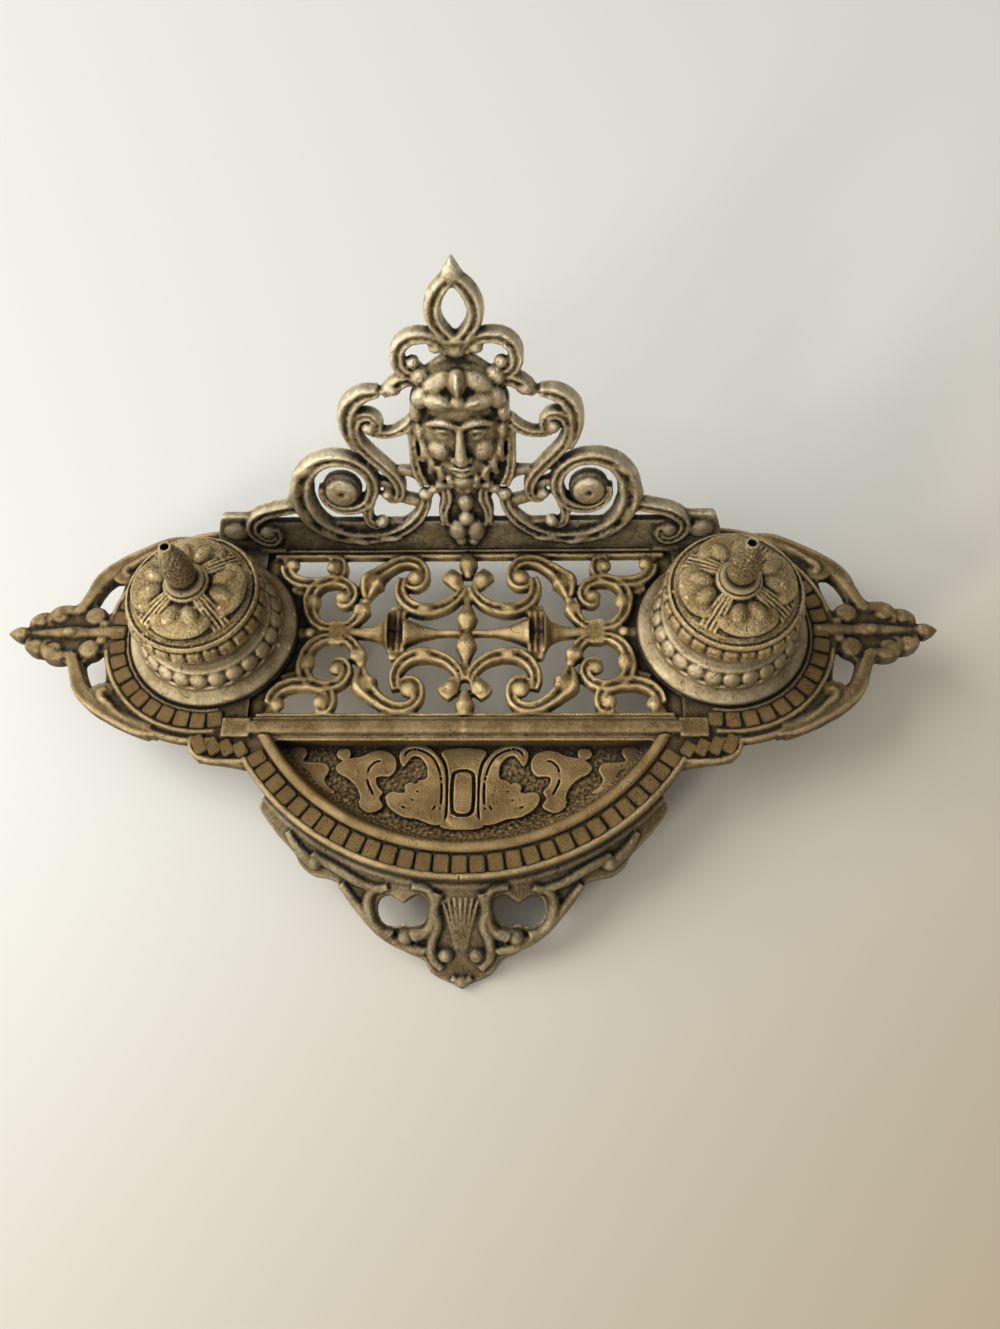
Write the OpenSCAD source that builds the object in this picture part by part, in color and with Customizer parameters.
// Cast-brass desk inkstand: a pierced tray with two lidded wells, a pen dish and a tall crest.
// The drawing frame of every module is the tray's: X to the right, Y to the back, Z up, with
// zero on the tray's top face midway between the wells. place() lifts it all onto the table.

/* [Tray] */
// Height of the tray's top face above the table
tray_h = 24; // [20:1:30]
// Thickness of the cast plate
tray_t = 4; // [3.5:0.5:5]
// Radius of the round front edge
front_r = 80.7; // [79:0.5:84]
// Half the distance between the wells
well_x = 81.4; // [80:0.5:84]
// Radius of each well platform
platform_r = 39; // [38.5:0.5:41]
// Length of the pierced end ornament beyond each platform
tip_len = 29.6; // [24:1:36]
// Width of the raised outer rim
rim_w = 1.8; // [1.4:0.1:2.2]
// Height of the raised rim above the plate
rim_up = 1; // [0.6:0.1:1.4]
// Height of the smooth front bar above the plate
bar_up = 1.3; // [0.8:0.1:1.8]

/* [Square beads] */
// Number of square beads along the front edge
front_beads = 29; // [25:2:31]
// Number of square beads round each platform
well_beads = 19; // [15:1:20]
// Width of the bead course on the platforms
bead_w = 5.25; // [4.5:0.25:5.75]
// Height of a square bead above the plate
bead_up = 0.9; // [0.6:0.1:1.3]
// Gap between two square beads
bead_gap = 0.8; // [0.6:0.1:1.4]

/* [Pen dish] */
// Depth of the dish floor below the tray's top face
dish_depth = 6; // [5.5:0.5:9]
// Thickness of the dish's walls and floor
dish_wall = 1.6; // [1.2:0.1:2]
// Distance of the dish's moulding from the round front edge
front_course = 7.7; // [7.2:0.1:9.7]
// Width of the smooth round moulding
moulding_w = 3.6; // [3:0.2:6]
// Height of the moulding above the plate
moulding_up = 1.5; // [1:0.1:2]

/* [Lattice] */
// Half the width of the lattice panel
lattice_hx = 66; // [64:0.5:68]
// Half the depth of the lattice panel, front to back
lattice_hy = 30; // [29:0.25:30]
// Thickness of the lattice's bars
lattice_t = 2.2; // [1.8:0.1:2.8]
// Height of the ridge along each bar
lattice_ridge = 1.2; // [0.8:0.1:1.6]
// Width of the plain border
lattice_border = 1.7; // [1.4:0.1:2.4]

/* [Crest] */
// Height of the crest along its own leaning face
crest_h = 100; // [92:1:110]
// Angle that the crest leans back from upright
crest_lean = 15; // [5:1:20]
// Half the width of the crest's foot band
crest_hx = 83; // [80:0.5:85]
// Thickness of the crest's plate
crest_t = 2.8; // [2.4:0.1:3.4]
// Height of the ridge along each scroll
crest_ridge = 1.5; // [1:0.1:2]
// Height of the plain foot band
band_h = 11.5; // [10:0.5:13]
// Distance of the crest's front face behind the lattice's border
crest_gap = 1; // [0.5:0.25:2]
// Depth of the fixing lugs behind the crest
lug_d = 8; // [7:0.5:9]
// Radius of the crest screws' shanks
crest_screw_r = 1.95; // [1.5:0.05:2]

/* [Front foot] */
// Distance of the foot's tip in front of the well line
foot_reach = 107.5; // [104:0.5:112]
// Thickness of the skirt, measured level
skirt_w = 4.4; // [3.6:0.2:5.4]
// Height of the ridge along the foot's scrolls
foot_ridge = 1.1; // [0.8:0.1:1.4]

/* [Rear feet] */
// Distance of each rear foot from the middle
rear_foot_x = 88; // [84:1:94]
// Distance of each rear foot behind the well line
rear_foot_y = 28; // [24:1:30]
// Radius of the rear feet's pads
rear_foot_r = 5.5; // [4.5:0.25:7]

/* [Wells] */
// Radius of each well's flange
flange_r = 26.9; // [26:0.1:27.4]
// Height of the well above the tray, up to the lid's seat
well_h = 19; // [18:0.5:23]
// Radius of the row of oval beads round the well
well_bead_r = 21.2; // [20.8:0.1:21.8]
// Number of oval beads
oval_beads = 24; // [20:1:24]
// Radius of the neck's top rim
neck_r = 18.6; // [18.3:0.1:19]
// Thickness of the well's floor
well_floor = 4.2; // [3.8:0.1:5]
// Radius of the screw under each well
well_screw_r = 2.4; // [2:0.1:2.6]

/* [Ink liners] */
// Outer radius of the glass cup
liner_r = 14.6; // [13:0.1:14.8]
// Radius of the cup's rolled lip
lip_r = 16.8; // [16.4:0.1:16.9]
// Thickness of the glass
glass_t = 2.2; // [1.6:0.1:2.6]

/* [Lids] */
// Outer radius of the lid's skirt
skirt_r = 20.4; // [20.2:0.1:20.8]
// Height of the lid from its seat to the dome's top
lid_h = 11.5; // [11:0.25:13]
// Thickness of the lid's dome
lid_t = 1.9; // [1.6:0.1:2.4]
// Number of pillow beads round the skirt
pillow_beads = 24; // [20:1:24]
// Depth of the skirt below the lid's seat
skirt_drop = 2.2; // [1.6:0.1:2.6]
// Radius of the finial's bud
bud_r = 5.2; // [4.6:0.1:5.6]
// Height of the finial above the dome
finial_h = 20; // [17:0.5:23]
// Radius of the finial's stud
stud_r = 1.6; // [1.3:0.1:1.8]

/* [Clearances] */
// Radial gap where a piece lifts out of another
lift_gap = 0.4; // [0.3:0.05:0.5]
// Gap under a piece that is seated on another body
seat_gap = 0.1; // [0.08:0.02:0.2]
// Radial gap round a stud, a screw or a spigot in its hole
hole_gap = 0.05; // [0.03:0.01:0.1]
// Radial gap round a screw where it passes the tray
pass_gap = 0.3; // [0.2:0.05:0.5]

/* [Hidden] */
$fn = 72;
small_fn = 12;

// Depth by which a raised course is sunk into what carries it
root = 0.4;
// Radius of the plate under each well
seat_r = flange_r + 0.3;
// Outer radius of the dish's smooth round moulding
dish_r = front_r - front_course;
// Front and back edges of the smooth front bar
bar_back = -lattice_hy;
bar_front = bar_back - 6;
bar_hx = well_x - 6.4;
// Back edge of the tray's rear bar
rear_edge = lattice_hy + crest_gap + crest_t / cos(crest_lean) + lug_d;
// Line on which the crest's front face meets the tray
crest_y = lattice_hy + crest_gap;
// Places of the screws in the crest's lugs
lug_x = crest_hx - 7;
lug_y = rear_edge - lug_d / 2;
screw_engage = 7;
// The drawing sizes that the pierced patterns were laid out at
draw_platform = 39;
draw_tip = 29.6;
draw_lattice = [66, 30];
draw_crest = [83, 100];
draw_foot = [80.7, 107.5];
// Ring of thin moulding round each platform
ring_r = platform_r - 4.6;
ring_w = 1.2;
// The lid's seat, and the inner radius of its skirt
seat_z = well_h + seat_gap;
lid_bore = neck_r + lift_gap;
// Lid cavity
cavity_r = 15.8;
dome_top = seat_z + lid_h;
nut_h = 2;
nut_r = 3.4;
stud_len = 4.6;
// Spigots that hold the rear feet in the tray
spigot_r = 2.4;
spigot_len = 3;
// Rim of the glass cup, and its seat in the well
lip_t = 1.6;
well_bore = liner_r + lift_gap;
lip_bore = lip_r + lift_gap - 0.1;
lip_z = well_h - lip_t - 0.3;
// Height of the oval beads round the well's wall
oval_z = 7.9;
// Thickness of the well screws' washers
washer_t = 1;
// Fall of the lid's dome from its crown to its edge
dome_r = 16.6;
dome_drop = 4.9;
// Crown of the crest tip behind the well line, and the shift that centres the object
back_reach = crest_y + crest_t / cos(crest_lean) + crest_h * sin(crest_lean);
shift_y = (foot_reach - back_reach) / 2;

// ---- curves ----------------------------------------------------------------------------

// Point at t between b and c on a smooth curve through a, b, c and d
function curve(a, b, c, d, t) =
    0.5 * (2 * b + (c - a) * t + (2 * a - 5 * b + 4 * c - d) * t * t
        + (3 * b - a - 3 * c + d) * t * t * t);

// Smooth path through the points p, with k steps between two of them
function smooth(p, k = 4) = let (last = len(p) - 1) concat(
    [for (i = [0 : last - 1], j = [0 : k - 1])
        curve(p[max(i - 1, 0)], p[i], p[i + 1], p[min(i + 2, last)], j / k)],
    [p[last]]);

// Edge point at one side of a path whose third number is the half width
function edge(q, i, side, wide) =
    let (a = q[max(i - 1, 0)], b = q[min(i + 1, len(q) - 1)], dx = b.x - a.x, dy = b.y - a.y,
        w = side * wide * q[i].z / norm([dx, dy]))
    [q[i].x - dy * w, q[i].y + dx * w];

// Scroll stroke along a path of [x, y, half width], with round ends
module stroke(p, wide = 1, k = 3) {
    q = smooth(p, len(p) == 2 ? 1 : k);
    last = len(q) - 1;
    polygon(concat([for (i = [0 : last]) edge(q, i, 1, wide)],
        [for (i = [last : -1 : 0]) edge(q, i, -1, wide)]));
    for (e = [q[0], q[last]])
        translate([e.x, e.y]) circle(e.z * wide, $fn = small_fn);
}

module disc(p, r) translate([p.x, p.y]) circle(r, $fn = small_fn);

// Both halves of a shape that is the same to the left and to the right
module both() {
    children();
    mirror([1, 0]) children();
}

// Joins strokes into one outline and fills its sharp inner corners, as a sand casting does
module cast_outline(fillet = 0.5) offset(delta = -fillet) offset(delta = fillet) children();

// Round-topped boss of base radius r that stands up above a face at the height level
module boss(p, r, up, level = 0) {
    ball = (r * r + up * up) / (2 * up);
    clip = 3 * ball;
    intersection() {
        translate([p.x, p.y, level + up - ball]) sphere(ball, $fn = 32);
        translate([p.x - clip / 2, p.y - clip / 2, level - root]) cube(clip);
    }
}

// Puts the tray's frame on the table, with the object's middle at the origin
module place() translate([0, shift_y, tray_h]) children();

// ---- tray ------------------------------------------------------------------------------

// Drawing point near the end ornament, from the well's axis, at the sizes in use
function at_end(p) = [p.x < draw_platform ? p.x * platform_r / draw_platform
    : platform_r + (p.x - draw_platform) * tip_len / draw_tip, p.y * platform_r / draw_platform];
function end_points(p) = [for (q = p) at_end(q)];

// One pierced end, drawn from the axis of its well towards the tip
module end_outline() {
    arm = smooth([[2, -38.9], [11, -38.3], [19, -36.6], [27, -33], [35, -28.4], [43, -21.2]], 3);
    shoulder = smooth([[43.9, -17], [46.4, -12.4], [50, -9], [53, -6]], 3);
    half = end_points(concat(arm, shoulder, [[61.6, -2.6], [61.6, 0], [2, 0]]));
    bud = end_points(smooth([[60, 0], [61, -2.4], [63.4, -3.1], [66.2, -1.9], [68.6, 0]], 4));
    for (side = [0, 1]) mirror([0, side]) {
        polygon(half);
        polygon(bud);
        disc(at_end([52.1, -6.8]), 3.2);
        disc(at_end([57.4, -4.6]), 2.9);
    }
}

module end_windows() {
    window = end_points([[32.9, -18.4], [36.2, -19.5], [38.6, -17.6], [41.2, -11.2], [38, -9],
        [36.2, -7.2], [34.2, -11.4]]);
    for (side = [0, 1]) mirror([0, side])
        offset(r = 0.8, $fn = 16) offset(delta = -0.8) polygon(window);
}

// Zigzag shoulder between a platform and the round front
module shoulder_outline()
    polygon([[58, bar_back], [well_x + 2.4, bar_back - 4], [well_x + 2.4, bar_front - 4.6],
        [well_x - 0.6, bar_front - 8], [72, bar_front - 9], [64, bar_front - 11]]);

// Outline of the whole tray without its openings
module tray_outline() {
    intersection() {
        circle(front_r);
        translate([-front_r, -front_r]) square([2 * front_r, front_r + bar_back]);
    }
    translate([-well_x, bar_front]) square([2 * well_x, lattice_hy - bar_front]);
    translate([-crest_hx, lattice_hy]) square([2 * crest_hx, rear_edge - lattice_hy]);
    both() {
        translate([well_x, 0]) circle(platform_r);
        translate([well_x, 0]) end_outline();
        shoulder_outline();
    }
}

// Opening for the lattice panel between the two seats of the wells
module lattice_window(border = 0) difference() {
    translate([-lattice_hx + border, -lattice_hy + border])
        square([2 * (lattice_hx - border), 2 * (lattice_hy - border)]);
    both() translate([well_x, 0]) circle(seat_r + border);
}

// The part of a round shape that lies in front of the smooth bar
module in_front(y = bar_front) intersection() {
    children();
    translate([-front_r, -front_r]) square([2 * front_r, front_r + y]);
}

module tray_plan() difference() {
    offset(delta = 0.01) tray_outline();
    lattice_window();
    in_front() circle(dish_r);
    both() translate([well_x, 0]) end_windows();
}

// A row of square beads along an arc, centred on the angle at
module bead_course(r, w, count, at, pitch) {
    size = r * pitch * PI / 180 - bead_gap;
    for (i = [0 : count - 1]) rotate(at + (i - (count - 1) / 2) * pitch)
        translate([r - w / 2, -size / 2]) square([w, size]);
}

module square_beads() {
    front_mid = (dish_r + front_r - rim_w) / 2;
    bead_course(front_mid, front_r - rim_w - dish_r - 1.2, front_beads, -90, 114 / front_beads);
    both() {
        difference() {
            translate([well_x, 0])
                bead_course(ring_r - 0.7 - bead_w / 2, bead_w, well_beads, -10, 186 / well_beads);
            translate([0, bar_front - 1]) square([well_x - 4, -bar_front + bar_back + 1.6]);
        }
        for (i = [0 : 2]) translate([well_x - 11.2 + 5 * i, bar_front - 2.6 + 0.8 * i]) rotate(-32)
            translate([-1.9, -2.6]) square([3.8, 5.2]);
    }
}

// Thin moulding round each platform, outside its beads
module platform_ring() both() difference() {
    translate([well_x, 0]) circle(ring_r + ring_w);
    translate([well_x, 0]) circle(ring_r);
    translate([0, bar_front - 1]) square([well_x, rear_edge - bar_front]);
}

// Raised line that follows the whole outer edge
module outer_rim() difference() {
    offset(delta = 0.01) tray_outline();
    offset(delta = -rim_w) tray_outline();
}

// Balls, lobes and leaf of one palmette end
module end_relief() {
    for (side = [-1, 1]) {
        boss(at_end([39.9, side * 5.9]), 3.1, 1.7);
        boss(at_end([52.1, side * 6.8]), 2.9, 1.4);
        boss(at_end([57.4, side * 4.6]), 2.6, 1.3);
        boss(at_end([34.6, side * 22.3]), 3.2, 1.3);
        boss(at_end([29.4, side * 25.8]), 2.6, 1.1);
    }
    boss(at_end([37.2, 0]), 2.1, 1.3);
    boss(at_end([45.8, 0]), 3.8, 1.6);
    boss(at_end([64, 0]), 2.7, 1.3);
}

// Everything that stands up from the plate
module tray_relief() {
    translate([0, 0, -root]) linear_extrude(root + rim_up) outer_rim();
    translate([0, 0, -root]) linear_extrude(root + rim_up - 0.1) platform_ring();
    translate([0, 0, -root]) linear_extrude(root + bead_up) square_beads();
    translate([-bar_hx, bar_front, -root]) cube([2 * bar_hx, bar_back - bar_front, root + bar_up]);
    for (side = [0, 1]) mirror([side, 0]) translate([well_x, 0, 0]) end_relief();
}

module tray() color("#8c7040") place() difference() {
    union() {
        translate([0, 0, -tray_t]) linear_extrude(tray_t) tray_plan();
        difference() {
            tray_relief();
            // level ground for the crest's foot and lugs
            translate([-crest_hx - crest_gap, crest_y - 0.2, 0])
                cube([2 * (crest_hx + crest_gap), tray_h, tray_h]);
        }
    }
    for (side = [-1, 1]) {
        translate([side * well_x, 0, -tray_t - 1])
            cylinder(r = well_screw_r + pass_gap, h = tray_t + 2);
        translate([side * lug_x, lug_y, -tray_t - 1])
            cylinder(r = crest_screw_r + pass_gap, h = tray_t + 2);
        translate([side * rear_foot_x, rear_foot_y, -tray_t - 1])
            cylinder(r = spigot_r + hole_gap, h = spigot_len + 1);
    }
}

// ---- pen dish --------------------------------------------------------------------------

module behind_cut(y) intersection() {
    children();
    translate([-2 * dish_r, -2 * dish_r, -50]) cube([4 * dish_r, 2 * dish_r + y, 100]);
}

// Half-moon dish: a smooth round moulding on a shallow bowl
module pen_dish() color("#97784a") place() {
    inner_r = dish_r - moulding_w;
    crown = [for (a = [0 : 15 : 180])
        [dish_r - moulding_w / 2 + moulding_w / 2 * cos(a), moulding_up * sin(a)]];
    cove = [for (a = [0 : 15 : 90])
        [inner_r - dish_depth + dish_depth * sin(a), -dish_depth * cos(a)]];
    difference() {
        behind_cut(bar_front) rotate_extrude() polygon(concat(
            [[0, -dish_depth - dish_wall], [inner_r - dish_depth + dish_wall, -dish_depth - dish_wall],
            [inner_r + dish_wall, -tray_t], [dish_r, -tray_t]], crown, [[0, 0]]));
        behind_cut(bar_front - dish_wall) rotate_extrude()
            polygon(concat([[0, -dish_depth]], cove, [[inner_r, 5], [0, 5]]));
        translate([-inner_r, bar_front - dish_wall, 0]) cube([2 * inner_r, dish_wall + 1, 5]);
    }
    dish_relief();
}

// Low scrolls on the dish floor
module dish_relief() translate([0, 0, -dish_depth - root]) linear_extrude(root + 0.6)
    cast_outline(0.3) both() {
        difference() {
            stroke([[0, -49.2, 3.2], [0, -58.8, 3.2]]);
            stroke([[0, -49.4, 2], [0, -58.6, 2]]);
        }
        // crown over the slot and the band beside it
        stroke([[0, -40.4, 2.7], [3.4, -40.6, 2.5], [5.9, -42.8, 1.4]]);
        stroke([[4.6, -43.4, 1.1], [4.6, -50, 1], [4.7, -58, 1.1], [6.4, -63, 0.9]]);
        // C-scroll with its leaf
        stroke([[15.6, -46, 1.4], [17, -42.8, 1.7], [13.8, -39.9, 1.9], [9.8, -41.2, 2],
            [7.6, -46, 1.7], [7.2, -52, 1.4], [8, -58, 1.3], [10.4, -62, 1]]);
        stroke([[9.2, -57, 1.2], [10.6, -51, 2.4], [12.8, -47.4, 1.9]]);
        stroke([[10.8, -51.6, 2.2], [15.4, -51.8, 2.9], [20, -53, 0.8]]);
        // second scroll
        stroke([[11.6, -61.2, 1], [16, -60.4, 1.3], [21.6, -58.6, 1.6], [25.8, -54.4, 1.9],
            [27.8, -48.8, 1.9], [26.4, -43.8, 1.9], [23.4, -42.4, 1.8], [21.9, -44.8, 1.6]]);
        // outer leaves
        stroke([[28.4, -56, 1.1], [31.2, -51.4, 1.7], [35, -48, 2.2], [39.6, -46.6, 2.4],
            [45, -47.4, 1.8], [49.8, -45.4, 1.8], [51.4, -42.2, 1.8], [49, -40.6, 1.5]]);
        stroke([[33.8, -46.4, 1.2], [35.6, -42.6, 1.7], [38, -40.6, 1.5]]);
        stroke([[31, -57.4, 1.9], [33.4, -54.6, 1.6], [37, -52.8, 1]]);
    }

// ---- lattice ---------------------------------------------------------------------------

// One quarter of the scroll pattern, drawn from the panel's middle at the drawing's size
module lattice_quarter(wide) {
    // inner C-scroll with its leaf
    stroke([[1.2, 17.4, 1], [2.6, 13.8, 1.5], [5.6, 10.6, 1.8], [9.6, 8.7, 2], [14, 8.1, 2.2],
        [18.2, 9.4, 2.1], [21.2, 12.6, 1.9], [22.3, 16.6, 1.7], [21.6, 20.4, 1.3]], wide, 2);
    // outer scroll: volute, arch and big leaf, then its knot and the stalk down to the collar
    stroke([[20.4, 19.4, 1], [18.4, 17.4, 1.6], [15.4, 18.4, 1.7], [14.5, 21.6, 1.6],
        [15.7, 24.9, 1.7], [18.8, 26.7, 1.9], [22.8, 26.4, 2], [26.6, 24.2, 2.1],
        [29.6, 21.6, 2.5], [31.8, 18.6, 3.7], [32.8, 15.4, 2.3], [33.1, 12.8, 1.2]], wide, 2);
    stroke([[33.3, 11, 1.1], [34.3, 8.4, 2.5], [35.5, 5.6, 1.7], [37.6, 3.2, 1.5],
        [40.2, 1.6, 1.4]], wide, 2);
    // ring scroll round the side opening
    stroke([[42.6, 12, 1.1], [40.4, 10.6, 1.6], [38.1, 12.4, 1.6], [38.2, 15.9, 1.7],
        [41, 18.5, 1.8], [45.2, 19.2, 1.9], [49.4, 17.5, 2], [51.6, 13.6, 2.1], [51.5, 9.2, 2],
        [50.2, 5.4, 1.8], [47.2, 2.7, 1.6], [43.8, 1.7, 1.4]], wide, 2);
    // corner scroll between the border and the platform
    stroke([[46.4, 26.6, 1.1], [43.6, 27.4, 1.4], [42.1, 24.8, 1.6], [42.9, 21.4, 1.7],
        [46, 19.2, 1.9], [51, 18.3, 2], [56, 18.9, 2.1], [59.8, 21.8, 2], [61, 25.4, 1.8]],
        wide, 2);
    // eyes of the volutes
    disc([17.4, 20.4], 2.8 * wide);
    disc([41.2, 13], 2.3 * wide);
    disc([45.2, 24.6], 2.3 * wide);
    // upright row: bud, stem, diamond leaf and finial bud
    stroke([[0.2, -0.2, 0.8], [0.3, 2.6, 2.1], [0.3, 5, 3], [0.3, 7.4, 1.9], [0.2, 10.4, 0.9],
        [0, 17, 0.8]], wide, 2);
    stroke([[1.6, 18.2, 1.2], [4, 19, 3.4], [7, 21.2, 1.9], [8, 21.8, 1.2]], wide, 2);
    stroke([[0, 19, 1.2], [0, 23, 1.9], [0, 25.6, 3], [0, 29.4, 1.9]], wide, 2);
    // trumpets, fluted bar and collar
    stroke([[0, 0, 0.9], [9, 0, 1], [14.4, 0, 2.1], [18.4, 0, 4.2]], wide, 2);
    stroke([[25.5, 0, 5.6], [27, 0, 3.6], [30.4, 0, 2.1], [36, 0, 1.5], [41, 0, 1.5]], wide, 2);
    polygon([[19.4, 0], [19.4, 7.4 * wide], [21, 9 * wide], [24, 10 * wide], [25, 8.6 * wide],
        [25, 0]]);
    polygon([[39.7, 0], [39.7, 4.2 * wide], [44.3, 4.2 * wide], [44.3, 0]]);
}

// Plain links from one quarter's scrolls to the border and the platform
module lattice_links() {
    stroke([[19, 27, 1.1], [21, 29.2, 1.4]]);
    stroke([[33.2, 13, 1], [33.3, 10, 1]]);
    stroke([[43, 27, 1.2], [42.6, 29.2, 1.4]]);
    stroke([[60.6, 26, 1.4], [61, 29.2, 1.8]]);
    stroke([[51, 14, 1.4], [57, 17, 2.2]]);
    stroke([[44, 0, 1.4], [56, 0, 1.8]]);
}

module quarters() scale([lattice_hx / draw_lattice.x, lattice_hy / draw_lattice.y])
    for (sx = [0, 1], sy = [0, 1]) mirror([sx, 0]) mirror([0, sy]) children();

module lattice_panel() color("#836a3e") place() {
    level = lattice_t + 0.8 - tray_t;
    translate([0, 0, -tray_t + 0.8]) linear_extrude(lattice_t) cast_outline() {
        intersection() {
            quarters() {
                lattice_quarter(1);
                lattice_links();
            }
            lattice_window(lattice_border / 2);
        }
        difference() {
            lattice_window();
            lattice_window(lattice_border);
        }
    }
    translate([0, 0, level - root]) linear_extrude(root + lattice_ridge) cast_outline(0.1)
        intersection() {
            quarters() lattice_quarter(0.55);
            lattice_window(lattice_border + 0.4);
        }
}

// ---- front foot ------------------------------------------------------------------------

// Slanting section of the skirt, raised by up, from the tray's underside to the table
function skirt_section(up) = [[front_r - skirt_w, -tray_t + up], [front_r, -tray_t + up],
    [foot_reach, -tray_h + up], [foot_reach - skirt_w - 1, -tray_h + up]];

// Drawing point of the foot in plan, moved in or out to lie on a skirt of the sizes in use
function on_skirt(p) = let (r = norm([p.x, p.y]), size = r < draw_foot.x ? front_r * r / draw_foot.x
        : front_r + (r - draw_foot.x) * (foot_reach - front_r) / (draw_foot.y - draw_foot.x))
    len(p) == 3 ? [p.x * size / r, p.y * size / r, p.z * size / r] : [p.x * size / r, p.y * size / r];
function skirt_points(p) = [for (q = p) on_skirt(q)];

module foot_outline() {
    side = smooth([[62, -56], [58.2, -62.2], [53.8, -67], [50.2, -70.6], [48.6, -73.6],
        [44.6, -76.6], [40.4, -77.6], [37.6, -78.6]], 2);
    lobe = smooth([[35.2, -80.4], [31.6, -84.6], [27.8, -88.8], [22.6, -93.6], [16, -97.6],
        [11.2, -99.4], [9.2, -102.6], [5.4, -104.6], [2.4, -105.8], [0, -107.5]], 2);
    both() polygon(skirt_points(concat([[0, -60], [54, -56]], side, lobe)));
}

module foot_windows() both() cast_outline(0.6)
    stroke(skirt_points([[12.9, -86.9, 3.3], [17, -87.8, 2.7], [21, -86.6, 3.3]]));

// Scroll lines of the foot, from its rim down to the tip
module foot_scrolls() both() {
    stroke(skirt_points([[6.2, -83, 1], [7.4, -87, 1.1], [6.6, -91, 1.1], [8.2, -95, 1.1],
        [8.2, -99, 1.1], [5.6, -102, 0.9]]));
    stroke(skirt_points([[34.4, -79.6, 1], [29, -86.4, 1.1], [22.6, -92.6, 1.1],
        [17.6, -95.2, 1.1]]));
    stroke(skirt_points([[26, -81, 0.9], [26.2, -86, 1], [22.6, -90.4, 0.9]]));
    stroke(skirt_points([[9, -84, 0.8], [9.6, -90, 0.9], [13.6, -92.8, 1.2], [16.4, -92.8, 2.2]]));
    stroke(skirt_points([[48, -70.8, 0.8], [45.2, -74.4, 1.4], [42.2, -75.6, 1.7]]));
}

module front_foot() color("#8f7444") place() difference() {
    tip_ball = on_skirt([4.6, -99.4]);
    slope = (tray_h - tray_t) / (foot_reach - front_r);
    union() {
        intersection() {
            rotate_extrude() polygon(skirt_section(0));
            translate([0, 0, -tray_h]) linear_extrude(tray_h - tray_t) foot_outline();
        }
        intersection() {
            rotate_extrude() polygon([[front_r + 1.2, -tray_t - 1.2], [front_r + 1.2, -tray_t],
                [foot_reach, -tray_h + foot_ridge * 1.4], [foot_reach - 2, -tray_h]]);
            translate([0, 0, -tray_h]) linear_extrude(tray_h - tray_t) cast_outline(0.15) foot_scrolls();
        }
        for (side = [-1, 1])
            translate([side * tip_ball.x, tip_ball.y, -tray_t - (norm(tip_ball) - front_r) * slope])
                sphere(2, $fn = 24);
    }
    translate([0, 0, -tray_h - 1]) linear_extrude(tray_h) foot_windows();
}

// ---- rear feet -------------------------------------------------------------------------

// Turned foot with a spigot that is pressed into the underside of the tray
module rear_foot(side) color("#7d6439") place()
    translate([side * rear_foot_x, rear_foot_y, -tray_h]) rotate_extrude() {
        leg = tray_h - tray_t;
        waist = smooth([[rear_foot_r - 0.6, 3], [3.6, 6], [3.2, leg - 7], [4.4, leg - 3.4],
            [5.6, leg - 2]], 4);
        polygon(concat([[0, 0], [rear_foot_r - 0.5, 0], [rear_foot_r, 0.5], [rear_foot_r, 2.2]],
            waist, [[5.6, leg], [spigot_r, leg], [spigot_r, leg + spigot_len - 0.1],
            [0, leg + spigot_len - 0.1]]));
    }
module rear_foot_left() rear_foot(-1);
module rear_foot_right() rear_foot(1);

// ---- crest -----------------------------------------------------------------------------

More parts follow.
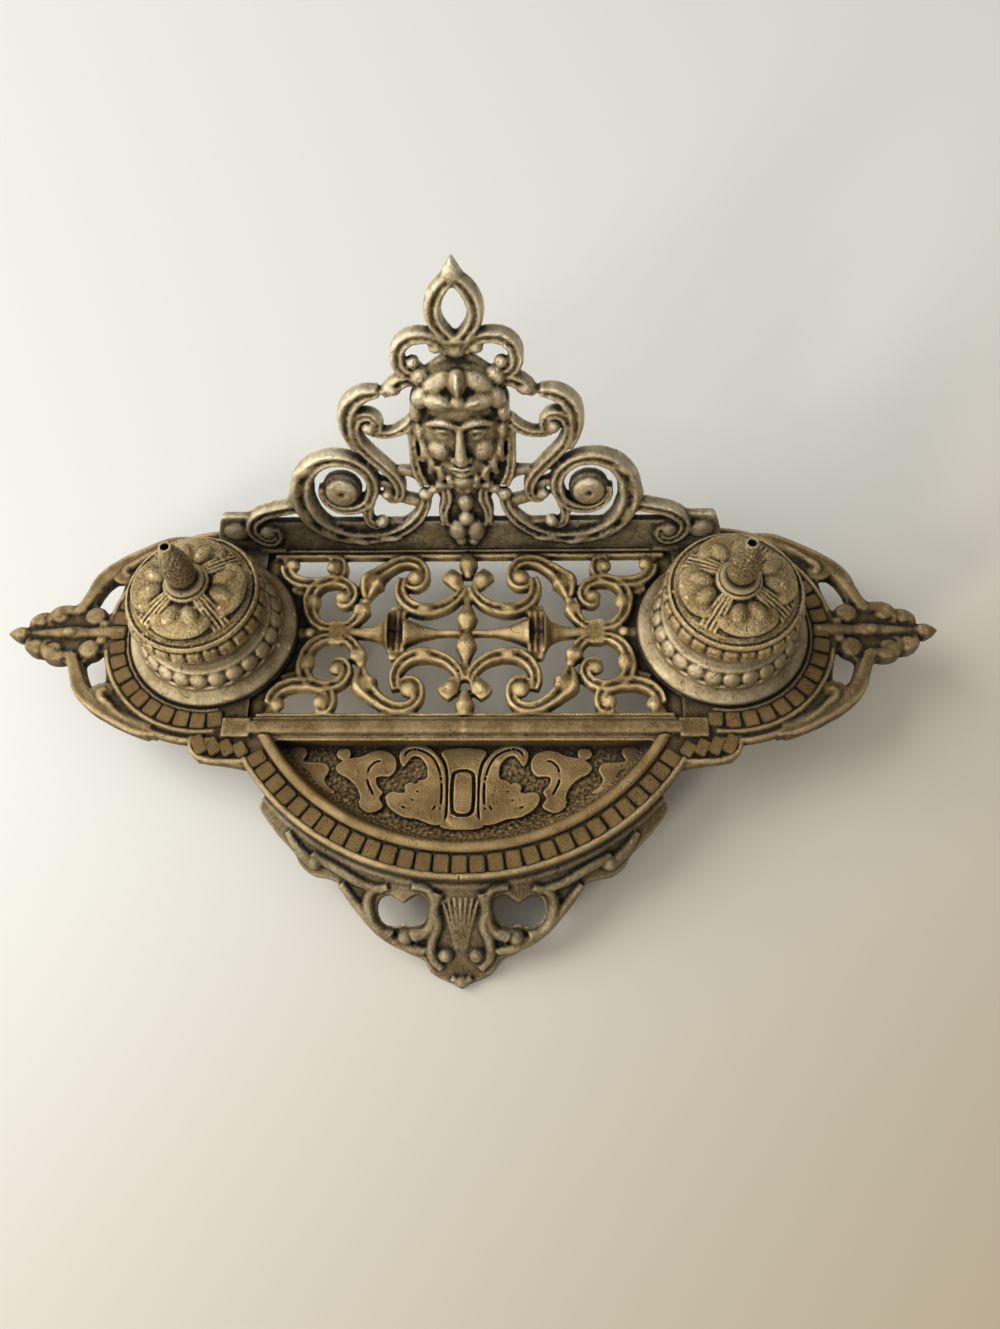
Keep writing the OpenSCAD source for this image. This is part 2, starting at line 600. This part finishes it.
// Right half of the crest's scrolls; the drawing's y runs up the leaning face
module crest_scrolls(wide) {
    // big lower scroll, from the bracket curl round to its inner end
    stroke([[12.2, 22.4, 1.6], [13.6, 16.8, 1.9], [17.8, 11, 2.1], [24.4, 6.8, 2.2],
        [33, 5.2, 2.3], [41.4, 6.5, 2.5], [48.2, 11.2, 2.8], [52, 18, 3.1], [52.4, 25.4, 3],
        [49.6, 31.9, 2.6], [44.2, 35.8, 2.3], [37.6, 36.5, 2.1], [32, 33.8, 2.1],
        [29.2, 28.8, 2.2], [29.6, 23.2, 2.1], [32.4, 18.9, 1.9], [37.4, 16.9, 1.8],
        [42.4, 18, 1.6], [45.3, 21.6, 1.3], [45.6, 25.6, 0.9]], wide);
    // branch that ends in the small volute at its foot
    stroke([[29.2, 25, 1.5], [30.6, 19.8, 1.7], [32, 14.6, 1.6], [30.8, 10.6, 1.4],
        [28, 10.2, 1.2], [27.6, 11.8, 2]], wide);
    // S-scroll beside the mask
    stroke([[27.5, 48.2, 2], [24.9, 48, 1.3], [25.6, 51.4, 1.5], [29.2, 52.3, 1.7],
        [31.9, 49.4, 1.9], [31.8, 44, 2], [28.8, 38.8, 2], [24.6, 33.7, 2], [21.2, 28.7, 1.9],
        [20.4, 24.3, 1.7], [22.2, 20.9, 1.4], [24.8, 21.4, 1.3], [24.7, 22.9, 1.8]], wide);
    // outer arc over the S-scroll
    stroke([[23.4, 60.2, 1.3], [28.4, 59.4, 2], [32.8, 55.8, 2.5], [34.5, 50.2, 2.3],
        [33.8, 45, 1.9], [32, 40.6, 1.6]], wide);
    // ear leaf and the stays that join the mask to the scrolls
    stroke([[12.5, 64.2, 1.6], [16, 64, 2.2], [19.2, 61.8, 2.3], [22.2, 59.5, 1.2]], wide);
    stroke([[14.2, 51, 1.4], [17.2, 47.8, 1.6], [21.2, 45.9, 1.4], [25.6, 45.8, 1.3]], wide);
    stroke([[14.6, 48.5, 1.5], [14.9, 40.8, 1.4], [14.3, 32, 1.7], [12.6, 26.6, 1.8]], wide);
    // small scroll at the foot of the spear
    stroke([[2.2, 73.2, 1.4], [4.8, 76.6, 1.5], [10, 78.3, 1.7], [15, 76.4, 1.8],
        [17.1, 71.6, 1.8], [15.7, 67.2, 1.7], [12.6, 66.4, 1.4], [12.3, 69.8, 1.7]], wide);
    // spear loop
    stroke([[0, 75.9, 1.6], [3.6, 79.4, 2], [5.7, 83.6, 2.3], [5.6, 87.4, 2.4], [3.8, 91.4, 2.2],
        [0.4, 95, 1.7]], wide);
    // end scroll that slopes down to the lug
    stroke([[54.6, 18, 2], [61, 16.6, 2.1], [67.4, 14.2, 2.2], [70.8, 9.8, 2.1], [68.9, 4.8, 1.9],
        [64.8, 3.6, 1.7], [62.7, 6.8, 1.4], [65.6, 8.6, 1.9]], wide);
}

// Flat parts of the right half: boss webs, mask ground, spear point and pendant
module crest_webs() {
    polygon(smooth([[0, 75.6], [2.6, 73.1], [6, 70.2], [11.6, 66], [14.6, 58.2], [14.4, 48.5],
        [14, 38.8], [12.8, 30], [9.6, 24.6], [7.4, 19], [6.6, 12], [0, 11]], 3));
    polygon([[0, 93.4], [3.9, 93.6], [0, 100]]);
    stroke([[20.6, 31.4, 1.3], [15.4, 30.4, 1.8], [12, 27.2, 2.2]]);
    stroke([[27.8, 27.4, 1.5], [22, 25.6, 1.5]]);
    stroke([[20.4, 20.8, 1.8], [14.6, 18.8, 2]]);
    stroke([[30, 34.4, 1.5], [26.4, 32.4, 1.2]]);
    stroke([[36, 20, 2], [41, 20.4, 2]]);
    disc([39, 24.6], 6.2);
    disc([66.6, 8.6], 3.6);
    for (lobe = [[0, 13, 3], [3.6, 8.4, 3.4], [2.4, 4.6, 3]])
        disc([lobe.x, lobe.y], lobe.z);
}

// Plain foot band with a squared ear at each end
module crest_band() {
    ear = 13;
    translate([0, -4]) square([crest_hx - 4, band_h + 4]);
    polygon([[crest_hx - 13, -4], [crest_hx - 13, ear], [crest_hx - 12, ear + 1],
        [crest_hx - 3.5, ear + 1], [crest_hx - 2.4, ear], [crest_hx, 6], [crest_hx, -4]]);
}

// Calm round-faced mask with a leaf on its brow; n is the height above the crest's plate
module mask() {
    // skull and jaw
    boss([0, 54], 13, 5.6, crest_t);
    boss([0, 42], 12.2, 5, crest_t);
    boss([0, 30.4], 7.8, 4.6, crest_t);
    // nose
    translate([-2.1, 41, 0]) rotate([90, 0, 90]) linear_extrude(4.2)
        polygon([[0, 0], [0, 9.2], [2.4, 9.2], [14, 6.4], [14, 0]]);
    // brow leaf, eyes, cheeks, lips and chin
    knob([0, 66.6], 3.4, 6);
    knob([0, 61], 3, 7.4);
    for (side = [-1, 1]) {
        knob([side * 7.4, 60.4], 4.6, 6.6);
        knob([side * 5.6, 52], 2.4, 6.4);
        knob([side * 6.8, 43.4], 3.8, 6);
        knob([side * 2, 36.6], 1.8, 6.4);
        knob([side * 8.8, 34.6], 2.8, 4.6);
    }
    knob([0, 34.2], 2.2, 6.2);
    knob([0, 29], 3.4, 6.4);
}

// Ball of radius r whose top stands at height top above the crest's plate
module knob(p, r, top) translate([p.x, p.y, crest_t + top - r]) sphere(r, $fn = 24);

// Takes the crest's drawing to the sizes in use
module at_crest_size() scale([crest_hx / draw_crest.x, crest_h / draw_crest.y, 1]) children();

module crest() color("#8a7347") place() difference() {
    union() {
        translate([0, crest_y + crest_t / cos(crest_lean), 0]) rotate([90 - crest_lean, 0, 0]) {
            linear_extrude(crest_t) cast_outline() both() {
                at_crest_size() {
                    crest_scrolls(1);
                    crest_webs();
                }
                crest_band();
            }
            translate([0, 0, crest_t - root]) linear_extrude(root + crest_ridge)
                cast_outline(0.15) both() at_crest_size() crest_scrolls(0.55);
            for (side = [-1, 1])
                boss([side * (crest_hx - 7), 7], 4, 2, crest_t);
            at_crest_size() {
                for (side = [-1, 1]) {
                    boss([side * 39, 24.6], 5, 2.6, crest_t);
                    boss([side * 2.6, 8], 3.2, 2.6, crest_t);
                }
                boss([0, 13.4], 2.6, 2.2, crest_t);
                mask();
            }
        }
        for (side = [-1, 1]) translate([side * lug_x - 6, rear_edge - lug_d - 2, 0])
            cube([12, lug_d + 2, band_h - 1.5]);
    }
    translate([-2 * crest_hx, -crest_h, -20]) cube([4 * crest_hx, 2 * crest_h, 20]);
    for (side = [-1, 1]) translate([side * lug_x, lug_y, -1])
        cylinder(r = crest_screw_r + hole_gap, h = screw_engage + 2);
}

// Round-headed screw that points up; its head's seat is at z = 0
module screw(r, head_r, head_h, len) {
    ball = (head_r * head_r + head_h * head_h) / (2 * head_h);
    cylinder(r = r, h = len);
    difference() {
        intersection() {
            translate([0, 0, ball - head_h]) sphere(ball, $fn = 40);
            translate([0, 0, -head_h]) cylinder(r = head_r, h = head_h);
        }
        translate([-head_r, -0.5, -head_h - 1]) cube([2 * head_r, 1, 1.9]);
    }
}

module crest_screws() color("#6b5a3a") place() for (side = [-1, 1])
    translate([side * lug_x, lug_y, -tray_t])
        screw(crest_screw_r, 2 * crest_screw_r, 2.2, tray_t + screw_engage);

// ---- wells -----------------------------------------------------------------------------

module well(side) color("#7c6540") place() translate([side * well_x, 0, 0]) difference() {
    cove = smooth([[20.4, oval_z + 2.9], [18.9, oval_z + 4], [18, oval_z + 5.6],
        [neck_r - 0.2, oval_z + 7.4]], 4);
    union() {
        rotate_extrude() polygon(concat([[0, 0], [flange_r, 0], [flange_r, 1.2],
            [flange_r - 0.4, 1.9], [flange_r - 1.4, 2.5], [flange_r - 3.6, 3.3],
            [well_bead_r + 1.3, 4.4], [well_bead_r, 5], [well_bead_r - 0.4, oval_z],
            [well_bead_r, oval_z + 2.6]], cove, [[neck_r, well_h - 3], [neck_r, well_h],
            [0, well_h]]));
        for (i = [0 : oval_beads - 1]) rotate(i * 360 / oval_beads)
            translate([well_bead_r - 1.6, 0, oval_z]) sphere(2.3, $fn = 24);
    }
    translate([0, 0, well_floor]) cylinder(r = well_bore, h = well_h);
    translate([0, 0, lip_z]) cylinder(r = lip_bore, h = well_h);
    translate([0, 0, -1]) cylinder(r = well_screw_r + hole_gap, h = well_floor);
}
module well_left() well(-1);
module well_right() well(1);

module well_washers() color("#8e8a80") place() for (side = [-1, 1])
    translate([side * well_x, 0, -tray_t - washer_t]) difference() {
        cylinder(r = 2.6 * well_screw_r, h = washer_t);
        translate([0, 0, -1]) cylinder(r = well_screw_r + hole_gap, h = washer_t + 2);
    }

module well_screws() color("#6b5a3a") place() for (side = [-1, 1])
    translate([side * well_x, 0, -tray_t - washer_t])
        screw(well_screw_r, 1.8 * well_screw_r, 2.4, tray_t + washer_t + well_floor - 1.2);

// ---- ink liners ------------------------------------------------------------------------

module liner(side) color("#c9d3cf") place() translate([side * well_x, 0, 0]) {
    foot = well_floor + 0.5;
    lip = lip_z + seat_gap;
    inner = liner_r - glass_t;
    rotate_extrude() polygon([[0, foot], [liner_r - 1.2, foot], [liner_r, foot + 1.2],
        [liner_r, lip], [lip_r, lip], [lip_r, lip + lip_t - 0.4], [lip_r - 0.4, lip + lip_t],
        [inner + 0.5, lip + lip_t], [inner, lip + lip_t - 0.6], [inner, foot + glass_t],
        [inner - 1, foot + glass_t - 0.7], [0, foot + glass_t - 0.7]]);
}
module liner_left() liner(-1);
module liner_right() liner(1);

// ---- lids ------------------------------------------------------------------------------

// Height of the lid's outer surface at radius r, as a shallow dome
function dome_z(r) = dome_top - dome_drop * r * r / (dome_r * dome_r);

module lid(side) color("#93763f") place() translate([side * well_x, 0, 0]) difference() {
    rim = seat_z + 3.4;
    outer = [for (r = [16.6 : -2.075 : 0]) [r, dome_z(r)]];
    inner = [for (r = [0 : 2 : 14]) [r, dome_z(r) - lid_t]];
    union() {
        rotate_extrude() polygon(concat([[lid_bore, seat_z - skirt_drop],
            [skirt_r, seat_z - skirt_drop], [skirt_r, rim], [skirt_r - 0.8, rim + 0.6],
            [skirt_r - 0.2, rim + 1.4], [skirt_r - 0.3, rim + 2.6], [skirt_r - 1.1, rim + 3.3],
            [skirt_r - 1.7, rim + 2.6], [skirt_r - 2.1, rim + 3.3], [skirt_r - 2.9, rim + 3.4]],
            outer, inner, [[cavity_r - 0.6, dome_z(15) - lid_t - 0.6], [cavity_r, seat_z + 3.4],
            [cavity_r, seat_z], [lid_bore, seat_z]]));
        for (i = [0 : pillow_beads - 1]) rotate(i * 360 / pillow_beads)
            translate([skirt_r - root, -2.25, seat_z - skirt_drop + 0.5])
                cube([root + 1.2, 4.5, skirt_drop + 2.6]);
        for (i = [0 : 3]) rotate(45 + 90 * i) {
            translate([10.2, 0, dome_z(10.2) - 4.1]) sphere(6, $fn = 32);
            for (turn = [33, 45, 57]) rotate(turn) translate([6.4, 0, dome_z(6.4)])
                rotate([0, 90 + 14, 0]) cylinder(r = 0.6, h = 9, $fn = 16);
        }
    }
    translate([0, 0, seat_z]) cylinder(r = stud_r + hole_gap, h = 2 * lid_h);
    translate([0, 0, seat_z]) cylinder(r = nut_r + lift_gap, h = dome_top - lid_t - seat_z);
    rotate_extrude() polygon(concat([for (r = [0 : 2 : 14]) [r, dome_z(r) - lid_t]],
        [[cavity_r - 0.6, dome_z(15) - lid_t - 0.6], [cavity_r, seat_z + 3.4],
        [cavity_r, seat_z - skirt_drop - 1], [0, seat_z - skirt_drop - 1]]));
}
module lid_left() lid(-1);
module lid_right() lid(1);

// Rough bud on a polished collar, with a stud that passes through the lid
module finial(side) color("#7a6a48") place() translate([side * well_x, 0, dome_top]) {
    bud = smooth([for (q = [[0.69, 0.16], [0.94, 0.27], [1, 0.4], [0.87, 0.58], [0.62, 0.77],
        [0.4, 1]]) [q.x * bud_r, q.y * finial_h]], 4);
    difference() {
        rotate_extrude() polygon(concat([[0, -stud_len], [stud_r, -stud_len], [stud_r, 0]],
            [for (q = [[0.88, 0], [1.1, 0.035], [1.13, 0.07], [1.06, 0.11], [0.85, 0.13]])
                [q.x * bud_r, q.y * finial_h]], bud, [[0, finial_h]]));
        translate([0, 0, 0.85 * finial_h]) cylinder(r = 0.23 * bud_r, h = finial_h);
    }
}
module finial_left() finial(-1);
module finial_right() finial(1);

module finial_nut(side) color("#6b5a3a") place()
    translate([side * well_x, 0, dome_top - lid_t - nut_h - 0.05]) difference() {
        cylinder(r = nut_r, h = nut_h, $fn = 6);
        translate([0, 0, -1]) cylinder(r = stud_r + hole_gap, h = nut_h + 2);
    }
module finial_nut_left() finial_nut(-1);
module finial_nut_right() finial_nut(1);

tray();
pen_dish();
lattice_panel();
front_foot();
rear_foot_left();
rear_foot_right();
crest();
crest_screws();
well_left();
well_right();
well_screws();
well_washers();
liner_left();
liner_right();
lid_left();
lid_right();
finial_left();
finial_right();
finial_nut_left();
finial_nut_right();
